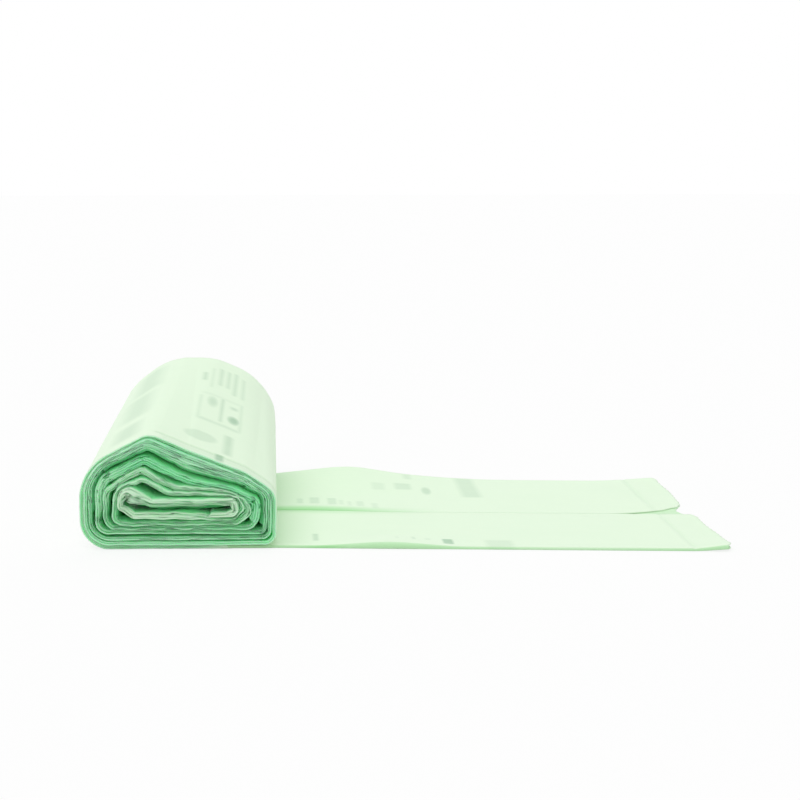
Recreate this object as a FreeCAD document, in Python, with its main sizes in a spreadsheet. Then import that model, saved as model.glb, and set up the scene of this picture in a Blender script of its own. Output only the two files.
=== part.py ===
import FreeCAD, Part
import math
import os

from FreeCAD import Vector

# A roll of bin bags that has no core. The bags are one long folded tube of film, joined by
# perforations and wound up flat. The roll lies on a table with its front end squashed to a wedge and
# its rear end still round, and the first bag runs out from under it along the table.
# X points along the lead bag, Y along the roll from its front end to its rear end, and Z up. The origin
# is on the table, under the middle of the roll.

# Driving dimensions, in millimetres and degrees
SIZES = [
    ("roll_length", 105.0, "width of the folded film, which is the length of the roll"),
    ("roll_width", 60.0, "widest part of the squashed front end"),
    ("turns", 6, "full turns round the core turn"),
    ("film_pack", 1.02, "thickness of the folded film, all its plies together"),
    ("turn_gap", 0.38, "air between two turns of the tight outer bundle, and between all at the bottom"),
    ("fall_gap", 0.84, "air between two turns on the falling side of the front end"),
    ("shoulder_gap", 0.4, "air between two turns at the front end's right shoulder"),
    ("outer_turns", 3, "turns in the tight outer bundle"),
    ("parting_gap", 0.7, "further air between the outer bundle and the turns inside it"),
    ("side_slack", 0.7, "further air at the sides between two of the turns inside the outer bundle"),
    ("front_height", 35.3, "height of the squashed front end"),
    ("front_peak_x", -9.0, "place of the front end's ridge"),
    ("side_rise", 26.3, "slope of the side that rises to the ridge"),
    ("side_fall", 23.5, "slope of the side that falls from the ridge"),
    ("front_dip_x", 3.0, "place where the falling side bends flatter"),
    ("shoulder_height", 20.3, "height of the front end's right shoulder"),
    ("front_left_radius", 17.0, "bend from the left side to the rising side"),
    ("front_peak_radius", 7.0, "bend at the ridge"),
    ("front_shoulder_radius", 12.0, "bend at the right shoulder"),
    ("front_foot_left", 6.5, "bend at the lower left"),
    ("front_foot_right", 4.0, "bend at the lower right"),
    ("dip_length", 2.3, "half the length of the bend where the falling side flattens"),
    ("rear_width", 56.6, "width of the round rear end"),
    ("rear_height", 45.6, "height of the round rear end"),
    ("rear_left_radius", 26.0, "bend from the left side to the rising side of the rear end"),
    ("rear_peak_radius", 26.0, "bend at the top of the rear end"),
    ("rear_dip_x", 13.5, "place where the rear end's falling side bends flatter"),
    ("rear_shoulder_radius", 20.0, "bend at the rear end's right shoulder"),
    ("rear_foot_left", 14.0, "bend at the lower left of the rear end"),
    ("rear_foot_right", 14.0, "bend at the lower right of the rear end"),
    ("chord_angle", 7.5, "turn of the film from one chord of a bend to the next"),
    ("tight_bend", 1.6, "smallest bend that the folded film takes"),
    ("front_core_wall", 8.0, "left side of the core turn at the front end"),
    ("rear_core_wall", 10.0, "left side of the core turn at the rear end"),
    ("front_lobe_reach", 4.3, "from the core turn's left side to the top of its loose lobe"),
    ("rear_lobe_reach", 10.0, "the same at the rear end"),
    ("front_sag_reach", 7.2, "from the top of the lobe to where the core turn lies flat"),
    ("rear_sag_reach", 7.0, "the same at the rear end"),
    ("lobe_rise", 31.0, "slope of the core turn up to its lobe"),
    ("lobe_fall", 29.5, "slope of the core turn down from its lobe"),
    ("sag_slope", 1.8, "slope of the part of the core turn that lies flat"),
    ("front_core_bend", 1.6, "bends of the core turn at the front end"),
    ("rear_core_bend", 4.8, "bends of the core turn at the rear end"),
    ("core_slack", 1.1, "room between the core turn's right bend and the turn round it"),
    ("core_end", 9.0, "length of film past the core turn's last bend"),
    ("lip", 0.9, "how far the second turn stands out in front of the outermost one"),
    ("end_dish", 2.6, "how far the middle turns stand back at the front end"),
    ("join_x", 14.0, "where the lead bag leaves the flat underside of the roll"),
    ("neck_end", 33.0, "where the plies of the lead bag come apart"),
    ("lead_length", 139.0, "lead bag, from the side of the roll to its torn end"),
    ("lead_drift", 6.5, "angle by which the lead bag runs off square, towards the front"),
    ("ply", 0.28, "thickness of one side of the folded film in the lead bag"),
    ("slit", 0.8, "gap between the two flaps along the middle of the lead bag"),
    ("slit_offset", 4.0, "how far the slit lies to the front of the middle"),
    ("front_puff", 1.1, "how much higher the front fold stands where it is puffed up"),
    ("puff_x", 64.0, "place of the puff"),
    ("puff_reach", 21.0, "length of the puff to either side"),
    ("puff_width", 12.0, "width of the strip that rises to the front fold"),
    ("middle_lift", 0.7, "how far the rear flap's free edge lifts beside the roll"),
    ("middle_lift_x", 48.0, "place of that lift"),
    ("middle_lift_reach", 15.0, "length of that lift to either side"),
    ("rear_hump", 4.3, "height of the hump in the rear edge beside the roll"),
    ("hump_x", 54.0, "place of the hump"),
    ("hump_tail", 1.2, "length of the hump past its top, compared with that before it"),
    ("hump_ramp", 22.0, "width of the strip that rises to the rear edge"),
    ("end_lift", 1.4, "how far the rear corner of the torn end lifts"),
    ("end_lift_reach", 22.0, "length of that lift from the torn end"),
    ("flap_lift", 4.0, "how far the rear flap's free corner lifts at the torn end"),
    ("flap_curl", 24.0, "length of that lift from the torn end"),
    ("tear_cut", 20.0, "height of the cut that shapes the torn end"),
    ("tear_notch", 5.0, "depth of the notch in the torn end between the flaps"),
    ("notch_front", 14.0, "width of the notch on the front flap"),
    ("notch_rear", 6.0, "width of the notch on the rear flap"),
    ("tooth_pitch", 3.5, "spacing of the cuts of the perforation"),
    ("tooth_depth", 0.7, "length of the teeth that the perforation leaves"),
    ("seal_inset", 11.5, "bottom seal of the bag, from the torn end"),
    ("seal_width", 1.2, "width of the pressed seal line"),
    ("seal_depth", 0.1, "depth of the pressed seal line"),
]

doc = FreeCAD.newDocument("bin_bag_roll")
sheet = doc.addObject("Spreadsheet::Sheet", "sizes")
for row, (alias, value, meaning) in enumerate(SIZES, start=1):
    sheet.set(f"A{row}", alias)
    sheet.set(f"B{row}", str(value))
    sheet.setAlias(f"B{row}", alias)
    sheet.set(f"C{row}", meaning)
doc.recompute()


def size(alias):
    """One driving dimension, read from the sheet."""
    return float(sheet.get(alias))


TURNS = int(round(size("turns")))
OUTER_TURNS = int(round(size("outer_turns")))
PACK = size("film_pack")
HALF = size("roll_length") / 2
TURN_PITCH = PACK + size("turn_gap")
FALL_PITCH = PACK + size("fall_gap")
SHOULDER_PITCH = PACK + size("shoulder_gap")
RIGHT = size("roll_width") / 2
TIGHT = size("tight_bend")


def turns_in(turn):
    """How many pitches a turn lies inside the outermost one, with the parting gap counted in."""
    parted = size("parting_gap") / TURN_PITCH if turn >= OUTER_TURNS else 0.0
    return turn + parted


def inset(turn):
    """How far a turn lies inside the outermost one at the bottom."""
    return TURN_PITCH * turns_in(turn)


def side_inset(turn):
    """How far a turn lies inside the outermost one at the sides, where the inner turns hang loose."""
    return inset(turn) + size("side_slack") * max(turn - OUTER_TURNS, 0)


def stand_back(turn):
    """How far a turn's ends lie to the rear of those of the outermost turn."""
    if turn == 0:
        return 0.0
    return size("end_dish") * math.sin(math.pi * (turn - 1) / TURNS) - size("lip")


# Outline of one turn at either end: a polygon whose corners are then rounded. The corners run from the
# lower left, up and over to the right, and down to the foot of the next turn. The sides of the round
# rear end run the same ways as those of the squashed front end, so the film between them has no twist.
RISE_ANGLE = math.radians(size("side_rise"))
FALL_ANGLE = math.radians(size("side_fall"))
RISE = math.tan(RISE_ANGLE)
FALL = math.tan(FALL_ANGLE)
PEAK_RADIUS = size("front_peak_radius")
PEAK_SHARPNESS = math.cos((RISE_ANGLE - FALL_ANGLE) / 2) / math.cos((RISE_ANGLE + FALL_ANGLE) / 2)
FRONT_PEAK = (size("front_peak_x"), size("front_height") + PEAK_RADIUS * (PEAK_SHARPNESS - 1))
REAR_RADIUS = size("rear_width") / 2
REAR_X = RIGHT - REAR_RADIUS
REAR_TILT = (RISE_ANGLE - FALL_ANGLE) / 2
REAR_REACH = REAR_RADIUS / math.cos((RISE_ANGLE + FALL_ANGLE) / 2)
REAR_PEAK = (REAR_X - REAR_REACH * math.sin(REAR_TILT),
             size("rear_height") - REAR_RADIUS + REAR_REACH * math.cos(REAR_TILT))


def steepness(slope):
    """Vertical distance between two lines of this slope that lie one unit apart."""
    return math.hypot(1.0, slope)


def rising_side(x, turn, peak):
    return peak[1] + RISE * (x - peak[0]) - side_inset(turn) * steepness(RISE)


def falling_side(x, turn, peak):
    return peak[1] - FALL * (x - peak[0]) - FALL_PITCH * turns_in(turn) * steepness(FALL)


def shoulder_slope(turn):
    """Slope of the last part of the falling side, which lies flatter the further in the turn is."""
    dip_x = size("front_dip_x")
    slope = (size("shoulder_height") - falling_side(dip_x, 0, FRONT_PEAK)) / (RIGHT - dip_x)
    right = RIGHT - side_inset(turn)
    lowering = SHOULDER_PITCH * turns_in(turn) * steepness(slope)
    shoulder = size("shoulder_height") - slope * side_inset(turn) - lowering
    return (shoulder - falling_side(dip_x, turn, FRONT_PEAK)) / (right - dip_x)


def bend_inside(alias, turn, least=TIGHT):
    """Radius of a bend of this turn, where the sheet gives the outermost turn's."""
    return max(size(alias) - side_inset(turn), least)


def turn_corners(turn, end):
    """(x, z, radius) of each corner of one turn, at the front or the rear end."""
    peak = FRONT_PEAK if end == "front" else REAR_PEAK
    left = side_inset(turn) - (RIGHT if end == "front" else REAR_RADIUS - REAR_X)
    right = RIGHT - side_inset(turn)
    lowering = FALL_PITCH * turns_in(turn) * steepness(FALL) - side_inset(turn) * steepness(RISE)
    ridge_x = peak[0] - lowering / (RISE + FALL)
    dip_x = size(end + "_dip_x")
    dip = falling_side(dip_x, turn, peak)
    return [
        (left, inset(turn), bend_inside(end + "_foot_left", turn)),
        (left, rising_side(left, turn, peak), bend_inside(end + "_left_radius", turn)),
        (ridge_x, rising_side(ridge_x, turn, peak), bend_inside(end + "_peak_radius", turn)),
        (dip_x, dip, None),
        (right, dip + shoulder_slope(turn) * (right - dip_x),
         bend_inside(end + "_shoulder_radius", turn, 2 * TIGHT)),
        (right, inset(turn + 1), bend_inside(end + "_foot_right", turn)),
    ]


# The core turn, where the winding began. It has collapsed at the front end and stands open at the rear.
CORE_FOOT = inset(TURNS)
CORE_LAST = CORE_FOOT + TURN_PITCH


def core_corners(end):
    """(x, z, radius) of each corner of the core turn and of the film's inner end."""
    around = turn_corners(TURNS - 1, end)
    left = around[0][0] + TURN_PITCH + size("side_slack")
    right = around[-1][0] - PACK - size("core_slack")
    wall = size(end + "_core_wall")
    lobe_x = left + size(end + "_lobe_reach")
    sag_x = lobe_x + size(end + "_sag_reach")
    lobe = CORE_FOOT + wall + math.tan(math.radians(size("lobe_rise"))) * (lobe_x - left)
    sag = lobe - math.tan(math.radians(size("lobe_fall"))) * (sag_x - lobe_x)
    last_side = sag - math.tan(math.radians(size("sag_slope"))) * (right - sag_x)
    bend = size(end + "_core_bend")
    return [
        (left, CORE_FOOT, bend),
        (left, CORE_FOOT + wall, bend),
        (lobe_x, lobe, bend),
        (sag_x, sag, None),
        (right, last_side, bend),
        (right, CORE_LAST, TIGHT),
        (right - size("core_end"), CORE_LAST, 0.0),
    ]


# From corners to film: the film runs straight from corner to corner and bends round each
def mixed(front, rear, share):
    """Corners at this share of the way from the front end to the rear end."""
    corners = []
    for (x0, z0, radius0), (x1, z1, radius1) in zip(front, rear):
        radius = None if radius0 is None else radius0 + (radius1 - radius0) * share
        corners.append((x0 + (x1 - x0) * share, z0 + (z1 - z0) * share, radius))
    return corners


def inward(way):
    """Direction from the outer face of the film to its inner face."""
    return Vector(way.z, 0, -way.x)


def turning(before, after):
    return math.atan2(before.x * after.z - before.z * after.x, before.x * after.x + before.z * after.z)


def bend_lengths(ways, runs, corners):
    """Length of each bend before and after its corner, shortened where a straight run is too short."""
    wanted = [0.0]
    for before, after, corner in zip(ways, ways[1:], corners[1:-1]):
        half = abs(turning(before, after)) / 2
        wanted.append(size("dip_length") if corner[2] is None else corner[2] * math.tan(half))
    wanted.append(0.0)
    fitting = list(wanted)
    for i, run in enumerate(runs):
        share = min(1.0, 0.96 * run / max(wanted[i] + wanted[i + 1], 1e-6))
        fitting[i] = min(fitting[i], wanted[i] * share)
        fitting[i + 1] = min(fitting[i + 1], wanted[i + 1] * share)
    return fitting


def film_outline(corners, y):
    """Closed outline of the folded film at one place along the roll, with its bends as short chords."""
    points = [Vector(x, y, z) for x, z, radius in corners]
    gaps = [b - a for a, b in zip(points, points[1:])]
    ways = [gap * (1.0 / gap.Length) for gap in gaps]
    lengths = bend_lengths(ways, [gap.Length for gap in gaps], corners)
    outer = [points[0]]
    inner = [points[0] + inward(ways[0]) * PACK]
    for before, after, point, length in zip(ways, ways[1:], points[1:], lengths[1:]):
        angle = turning(before, after)
        side = 1.0 if angle > 0 else -1.0
        radius = side * length / math.tan(abs(angle) / 2)
        centre = point - before * length - inward(before) * radius
        chords = max(2, round(math.degrees(abs(angle)) / size("chord_angle")))
        for i in range(chords + 1):
            turned = angle * i / chords
            across = Vector(-before.z, 0, before.x)
            way = before * math.cos(turned) + across * math.sin(turned)
            outer.append(centre + inward(way) * radius)
            inner.append(centre + inward(way) * (radius + PACK))
    outer.append(points[-1])
    inner.append(points[-1] + inward(ways[-1]) * PACK)
    return outer + inner[::-1]


def flat_faces(a, b, c, d):
    """The four-sided face between these corners, or two triangles where they do not lie flat."""
    normal = (c - a).cross(d - b)
    if abs((b - a).dot(normal.normalize())) < 1e-6:
        return [Part.Face(Part.makePolygon([a, b, c, d, a]))]
    return [Part.Face(Part.makePolygon([a, b, c, a])), Part.Face(Part.makePolygon([a, c, d, a]))]


def add_film(name, outlines):
    """A piece of folded film between outlines that have the same number of points, made of flat faces."""
    faces = [Part.Face(Part.makePolygon(ring + [ring[0]])) for ring in (outlines[0], outlines[-1])]
    for near, far in zip(outlines, outlines[1:]):
        for i in range(len(near)):
            faces += flat_faces(near[i - 1], near[i], far[i], far[i - 1])
    shell = Part.makeShell(faces)
    shell.sewShape()
    solid = Part.makeSolid(shell)
    if solid.Volume < 0:
        solid.reverse()
    film = doc.addObject("Part::Feature", name)
    film.Shape = solid
    film.Placement = FreeCAD.Placement()
    return film


def add_turn(turn):
    """One turn of the film, from the flat underside round to the start of the next turn."""
    start = [(size("join_x"), inset(turn), 0.0)]
    corners = {}
    for end in ("front", "rear"):
        if turn < TURNS:
            corners[end] = start + turn_corners(turn, end) + [(size("join_x"), inset(turn + 1), 0.0)]
        else:
            corners[end] = start + core_corners(end)
    outlines = []
    for place in (0.0, 1.0):
        share = place + stand_back(turn) / (2 * HALF)
        between_ends = mixed(corners["front"], corners["rear"], share)
        outlines.append(film_outline(between_ends, HALF * (2 * share - 1)))
    return add_film(f"turn_{turn}", outlines)


pieces = [add_turn(turn) for turn in range(TURNS + 1)]


# The lead bag: the film folded in four, with its two flaps meeting at a slit on top. It is lofted from
# outlines across the film.
LEAD_END = RIGHT + size("lead_length")
DRIFT = math.tan(math.radians(size("lead_drift")))
FOLD = PACK / 2
PLY = size("ply")
CREST = size("puff_width")


def bell(x, middle, reach):
    """A smooth hump one unit high that ends at this distance from its middle."""
    away = min(abs(x - middle) / reach, 1.0)
    return math.cos(0.5 * math.pi * away) ** 2


def rear_lift(x):
    """How far the lead bag's rear edge lies above the table."""
    hump_x = size("hump_x")
    reach = (hump_x - size("join_x") - 2.0) * (1.0 if x < hump_x else size("hump_tail"))
    corner = size("end_lift") * bell(x, LEAD_END, size("end_lift_reach"))
    return size("rear_hump") * bell(x, hump_x, reach) + corner


def flap_rise(x):
    """How far the rear flap's free edge stands off the bag: beside the roll, and at its free corner."""
    beside = size("middle_lift") * bell(x, size("middle_lift_x"), size("middle_lift_reach"))
    return beside + size("flap_lift") * bell(x, LEAD_END + 2.0, size("flap_curl"))


def lead_points(x, press):
    """Named (y, z) points of the outline across the lead bag."""
    drift = -DRIFT * max(x - RIGHT, 0.0)
    rear = HALF + drift - FOLD
    ramp = rear - size("hump_ramp")
    lift = rear_lift(x)
    high = PACK + size("front_puff") * bell(x, size("puff_x"), size("puff_reach"))
    front = -HALF + drift + high / 2
    slit = drift - size("slit_offset")
    half = size("slit") / 2
    raised = flap_rise(x)
    top = PACK - press
    return {
        "foot_front": (front, 0.0), "foot_ramp": (ramp, 0.0), "foot_rear": (rear, lift),
        "rear_edge": (rear + FOLD, lift + FOLD),
        "rear_top": (rear, lift + top), "ramp_top": (ramp, top),
        "flap_rear": (slit + half, top + raised), "flap_front": (slit - half, top),
        "crest_top": (front + CREST, top), "front_top": (front, high - press),
        "front_edge": (front - high / 2, high / 2),
        "inside_front": (front, PLY), "inside_ramp": (ramp, PLY), "inside_rear": (rear, lift + PLY),
        "inner_rear_edge": (rear + FOLD - PLY, lift + FOLD),
        "under_rear": (rear, lift + PACK - PLY), "under_ramp": (ramp, PACK - PLY),
        "under_flap_rear": (slit + half, PACK - PLY + raised),
        "under_flap_front": (slit - half, PACK - PLY),
        "under_crest": (front + CREST, PACK - PLY), "under_front": (front, high - PLY),
        "inner_front_edge": (front - high / 2 + PLY, high / 2),
    }


SOLID_ROUTE = ["foot_front", "foot_ramp", "foot_rear", "(rear_edge", "rear_top", "ramp_top", "crest_top",
               "front_top", "(front_edge", "foot_front"]
OPEN_ROUTE = ["foot_front", "foot_ramp", "foot_rear", "(rear_edge", "rear_top", "ramp_top", "flap_rear",
              "under_flap_rear", "under_ramp", "under_rear", "(inner_rear_edge", "inside_rear",
              "inside_ramp", "inside_front", "(inner_front_edge", "under_front", "under_crest",
              "under_flap_front", "flap_front", "crest_top", "front_top", "(front_edge", "foot_front"]
FOLD_CHORDS = 4


def lead_outline(route, x, press=0.0):
    """Points of one outline across the lead bag; a name with a bracket is the middle of a fold."""
    places = lead_points(x, press)
    outline = [Vector(x, *places[route[0]])]
    for before, name, after in zip(route, route[1:], route[2:] + [""]):
        if not name.startswith("("):
            outline.append(Vector(x, *places[name]))
            continue
        (y0, z0), (y2, z2) = places[before], places[after]
        reach = places[name[1:]][0] - y0
        for i in range(1, FOLD_CHORDS):
            around = math.pi * i / FOLD_CHORDS
            share = (1 - math.cos(around)) / 2
            outline.append(Vector(x, y0 + reach * math.sin(around), z0 + (z2 - z0) * share))
    return outline[:-1]


JOIN_X = size("join_x")
NECK_END = size("neck_end")
neck_places = [JOIN_X, JOIN_X + 2.0]
neck_places += [JOIN_X + 2.0 + (NECK_END - JOIN_X - 2.0) * i / 4 for i in range(1, 5)]
pieces.append(add_film("neck", [lead_outline(SOLID_ROUTE, x) for x in neck_places]))

SEAL_X = LEAD_END - size("seal_inset")
SEAL_HALF = size("seal_width") / 2
EDGE = size("seal_depth")
LEAD_STEPS = 14
LEAD_STEP = (SEAL_X - SEAL_HALF - NECK_END) / LEAD_STEPS
lead_places = [(NECK_END + i * LEAD_STEP, 0.0) for i in range(LEAD_STEPS)]
lead_places += [(SEAL_X - SEAL_HALF, 0.0), (SEAL_X - SEAL_HALF + EDGE, EDGE)]
lead_places += [(SEAL_X + SEAL_HALF - EDGE, EDGE), (SEAL_X + SEAL_HALF, 0.0)]
lead_places += [(LEAD_END - 5.0, 0.0), (LEAD_END + 2.0, 0.0)]
lead = add_film("lead_whole", [lead_outline(OPEN_ROUTE, x, press) for x, press in lead_places])


def tear_x(y):
    """Where the bag tore off, with a notch between the flaps."""
    slit = -DRIFT * size("lead_length") - size("slit_offset")
    away = abs(y - slit)
    width = size("notch_rear") if y > slit else size("notch_front")
    notch = size("tear_notch") * max(0.0, 1.0 - away / width)
    return LEAD_END - notch


def tear_outline():
    """Outline of what lies beyond the torn end: a row of teeth, one for each bridge left between cuts."""
    low = -HALF - DRIFT * size("lead_length") - 3.0
    high = HALF + 3.0
    pitch = size("tooth_pitch")
    outline = []
    for i in range(int((high - low) / pitch) + 1):
        y = low + i * pitch
        outline.append(Vector(tear_x(y), y, -5.0))
        outline.append(Vector(tear_x(y + 0.5 * pitch) - size("tooth_depth"), y + 0.5 * pitch, -5.0))
    beyond = LEAD_END + 10.0
    return outline + [Vector(beyond, outline[-1].y, -5.0), Vector(beyond, outline[0].y, -5.0)]


tear_line = doc.addObject("Part::Polygon", "tear_line")
tear_line.Nodes = tear_outline()
tear_line.Close = True
tear = doc.addObject("Part::Extrusion", "tear")
tear.Base = tear_line
tear.DirMode = "Custom"
tear.Dir = Vector(0, 0, 1)
tear.setExpression("LengthFwd", "sizes.tear_cut * 1mm")
tear.Solid = True
torn = doc.addObject("Part::Cut", "torn_lead")
torn.Base = lead
torn.Tool = tear
pieces.append(torn)

roll = doc.addObject("Part::MultiFuse", "bag_roll")
roll.Shapes = pieces
roll.Refine = False
roll.Label = "bag_roll"
doc.recompute()

for item in doc.Objects:
    if "Invalid" in item.State or "Error" in item.State:
        raise RuntimeError(f"{item.Label} did not build: {item.State}")
    if hasattr(item, "Shape") and (item.Shape.isNull() or not item.Shape.isValid()):
        raise RuntimeError(f"{item.Label} has no sound shape")
if len(roll.Shape.Solids) != 1:
    raise RuntimeError(f"the roll came out as {len(roll.Shape.Solids)} solids")

os.makedirs("parts", exist_ok=True)
roll.Shape.exportStep("parts/bag_roll.step")
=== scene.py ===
import math

import bpy
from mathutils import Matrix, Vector


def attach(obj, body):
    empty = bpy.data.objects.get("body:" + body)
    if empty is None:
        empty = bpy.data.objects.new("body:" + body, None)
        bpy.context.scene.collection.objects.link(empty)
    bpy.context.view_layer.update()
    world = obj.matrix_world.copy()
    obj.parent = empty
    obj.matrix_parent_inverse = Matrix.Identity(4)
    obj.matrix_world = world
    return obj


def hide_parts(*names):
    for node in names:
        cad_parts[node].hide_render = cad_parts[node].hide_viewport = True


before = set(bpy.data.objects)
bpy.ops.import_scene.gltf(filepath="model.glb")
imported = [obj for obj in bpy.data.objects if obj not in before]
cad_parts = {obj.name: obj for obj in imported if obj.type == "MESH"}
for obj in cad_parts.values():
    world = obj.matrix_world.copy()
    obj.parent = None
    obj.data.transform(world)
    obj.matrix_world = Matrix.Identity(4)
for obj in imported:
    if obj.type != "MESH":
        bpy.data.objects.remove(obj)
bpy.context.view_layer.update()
scene = bpy.context.scene
MM = 0.001

# Winding
# Bin bags in one long tube of pale green film, folded in four and wound up flat without a core. The front
# end is squashed to a wedge with a ridge, the rear end is still round. Three outer turns lie tight
# together, the next ones hang loose inside them, and the core turn has sagged flat.
ROLL_LENGTH = 105.0

# Corners of each turn at the squashed front end: x, z, bend radius and the thickness of the folded film
# there. They run from the lower left, up over the ridge and down the falling side to the lower right.
OUTERMOST = [
    (-30.0, 0.0, 9.0, 1.25), (-29.9, 24.9, 16.0, 1.25), (-8.6, 36.1, 6.0, 1.15), (3.5, 30.9, 22.0, 1.2),
    (21.0, 23.9, 20.0, 1.2), (29.7, 18.0, 6.5, 1.35), (29.9, 9.0, 20.0, 1.35), (29.6, 1.3, 4.2, 1.25),
]
BUNDLE_INNER = [
    (-27.4, 2.6, 6.6, 1.15), (-27.3, 23.8, 12.0, 1.3), (-9.2, 33.7, 4.0, 2.2), (3.5, 28.1, 22.0, 3.4),
    (20.6, 21.6, 18.0, 1.9), (27.2, 16.9, 4.5, 1.3), (27.3, 9.0, 20.0, 1.3), (26.6, 4.5, 3.6, 1.15),
]
LOOSE = [
    (-25.2, 4.6, 4.0, 1.4), (-25.3, 22.0, 7.0, 3.2), (-9.8, 29.2, 4.0, 3.0), (3.4, 22.5, 18.0, 2.7),
    (18.4, 18.9, 12.0, 2.2), (25.1, 15.4, 4.0, 3.0), (25.2, 9.8, 8.0, 3.2), (22.3, 5.8, 3.4, 1.5),
]
WAVY = [
    (-22.9, 5.9, 3.6, 1.3), (-22.8, 18.7, 4.0, 2.1), (-11.4, 25.8, 3.0, 2.6), (-0.2, 19.9, 12.0, 2.0),
    (13.5, 18.7, 10.0, 1.7), (20.2, 16.3, 3.0, 1.9), (22.9, 11.3, 2.6, 2.2), (18.0, 7.2, 3.0, 1.6),
]
CORE_WRAP = [
    (-20.5, 7.2, 3.2, 1.6), (-19.6, 19.4, 5.0, 2.0), (-10.6, 22.3, 3.0, 1.7), (-2.5, 18.2, 8.0, 1.9),
    (12.0, 17.5, 10.0, 1.4), (18.9, 16.5, 2.0, 1.5), (20.8, 12.2, 2.2, 1.7), (17.0, 8.9, 2.6, 1.2),
]
# The core turn, which has sagged flat, and the film's inner end
CORE = [
    (6.0, 9.1, 20.0, 2.2), (-14.0, 9.5, 3.0, 2.2), (-18.6, 12.9, 2.4, 1.9), (-18.2, 17.6, 2.6, 3.6),
    (-14.4, 20.2, 2.8, 5.2), (-7.4, 15.8, 3.0, 3.4), (5.0, 16.0, 20.0, 3.3), (18.4, 16.0, 2.2, 2.6),
    (18.3, 9.9, 2.4, 2.2), (8.8, 10.2, 0.0, 1.5),
]
# Three things by the number of the turn. How much painted shade the folds get, from -0.5, palest with painted
# light, to 1, deep green shade:
FOLD_PAINTED_SHADES = [
    (0.0, 0.32), (1.0, 0.46), (2.9, 0.48), (3.0, 0.28), (3.12, 0.32), (3.2, 0.80), (3.6, 0.80), (3.9, 0.42),
    (4.0, 0.30), (4.2, 0.0), (5.0, 0.30), (5.2, 0.0), (5.9, 0.10), (6.1, -0.35), (7.2, -0.35),
]
# How far the inner plies of the folds stand back:
FOLD_SLANTS = [
    (0.0, 0.2), (1.0, 0.4), (2.0, 0.7), (3.0, 0.9), (4.0, 1.1), (5.0, 1.2), (5.95, 1.0), (6.05, 0.6),
    (6.30, 1.2), (6.56, 1.2), (6.66, 4.0), (6.80, 4.0), (6.87, 0.8), (7.2, 0.6),
]
# How far the film swells behind its fold, until it meets the next turn:
SWELLS = [
    (1.95, 0.35), (2.0, 0.2), (2.02, 0.2), (2.05, 1.3), (2.78, 1.3), (2.82, 0.3), (2.95, 0.4), (3.05, 0.5),
    (4.0, 0.5), (5.0, 0.3), (6.2, 0.0), (6.5, 0.0), (6.65, 1.4), (6.80, 1.4), (6.90, 0.0),
]


def between(first, second, share):
    """Corners of a turn that lies between two others."""
    return [tuple(a + (b - a) * share for a, b in zip(p, q)) for p, q in zip(first, second)]


FRONT_TURNS = [OUTERMOST, between(OUTERMOST, BUNDLE_INNER, 0.5), BUNDLE_INNER, LOOSE, WAVY, CORE_WRAP]
CORNERS_IN_TURN = len(OUTERMOST)
# At the round end: how deep each turn lies, the film's thickness, and the corners of the core turn
REAR_DEPTHS = [0.0, 1.3, 2.6, 4.4, 6.0, 7.6]
REAR_THICKNESS = 1.2
REAR_CORE = [
    (4.0, 9.0, 20.0), (-16.8, 9.0, 5.0), (-17.2, 14.0, 8.0), (-16.0, 24.0, 5.0), (-8.0, 29.0, 6.0),
    (1.0, 27.5, 8.0), (11.0, 25.0, 8.0), (20.6, 21.0, 5.0), (20.4, 10.4, 4.0), (10.5, 11.2, 0.0),
]


def rear_turn(depth, foot, next_foot):
    """Corners of one turn at the round end, without a thickness. They move in with its depth."""
    return [
        (depth - 26.4, foot, 14.0 - depth),
        (depth - 25.8, 31.8 - 0.65 * depth, 24.0 - depth),
        (-8.0 + 0.1 * depth, 45.8 - depth, 24.0 - depth),
        (8.0 - 0.1 * depth, 45.9 - 1.02 * depth, 26.0 - depth),
        (22.3 - 0.65 * depth, 40.0 - 0.8 * depth, 22.0 - depth),
        (30.0 - depth, 29.4 - 0.4 * depth, 20.0 - depth),
        (30.3 - depth, 18.0, 20.0),
        (30.2 - depth, next_foot, 14.0 - depth),
    ]


# Share of the way to the next corner that a bend may take up
BEND_ROOM = 0.47


def bend_points(before, corner, after, radius, count):
    """Points round one bend, with the same number of steps at both ends of the roll."""
    arrive = (corner - before).normalized()
    leave = (after - corner).normalized()
    angle = arrive.angle_signed(leave)
    half = abs(angle) / 2
    room = BEND_ROOM * min((corner - before).length, (after - corner).length)
    reach = min(radius * math.tan(half), room)
    radius = reach / math.tan(half)
    side = 1.0 if angle > 0 else -1.0
    across = Vector((arrive.y, -arrive.x)) * side
    centre = corner - arrive * reach + across * radius
    points = []
    for i in range(count + 1):
        turned = half * 2 * i / count
        out = -across * math.cos(turned) + arrive * math.sin(turned)
        points.append((centre + out * radius, -out * side))
    return points


def run_outline(corners, counts):
    """Points along rounded corners, each with the direction towards the inside of the roll."""
    places = [Vector(corner[:2]) for corner in corners]
    outline = []
    for i in range(1, len(corners) - 1):
        bend = bend_points(places[i - 1], places[i], places[i + 1], corners[i][2], counts[i][0])
        start = outline[-1][0] if outline else places[0]
        steps = counts[i][1]
        for k in range(1 if outline else 0, steps):
            outline.append((start.lerp(bend[0][0], k / steps), bend[0][1]))
        outline += bend
    last = bend[-1][1]
    steps = counts[-1][1]
    start = outline[-1][0]
    outline += [(start.lerp(places[-1], k / steps), last) for k in range(1, steps + 1)]
    return outline


# The whole winding, from where the lead bag joins it under the roll to the film's inner end
JOIN_X = 16.0
front_corners = [(JOIN_X, 0.0, 0.0, 1.0)]
rear_corners = [(JOIN_X, 0.0, 0.0)]
for turn, corners in enumerate(FRONT_TURNS):
    front_corners += corners
    rear_corners += rear_turn(REAR_DEPTHS[turn], corners[0][1], corners[-1][1])
front_corners += CORE
rear_corners += REAR_CORE

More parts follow.
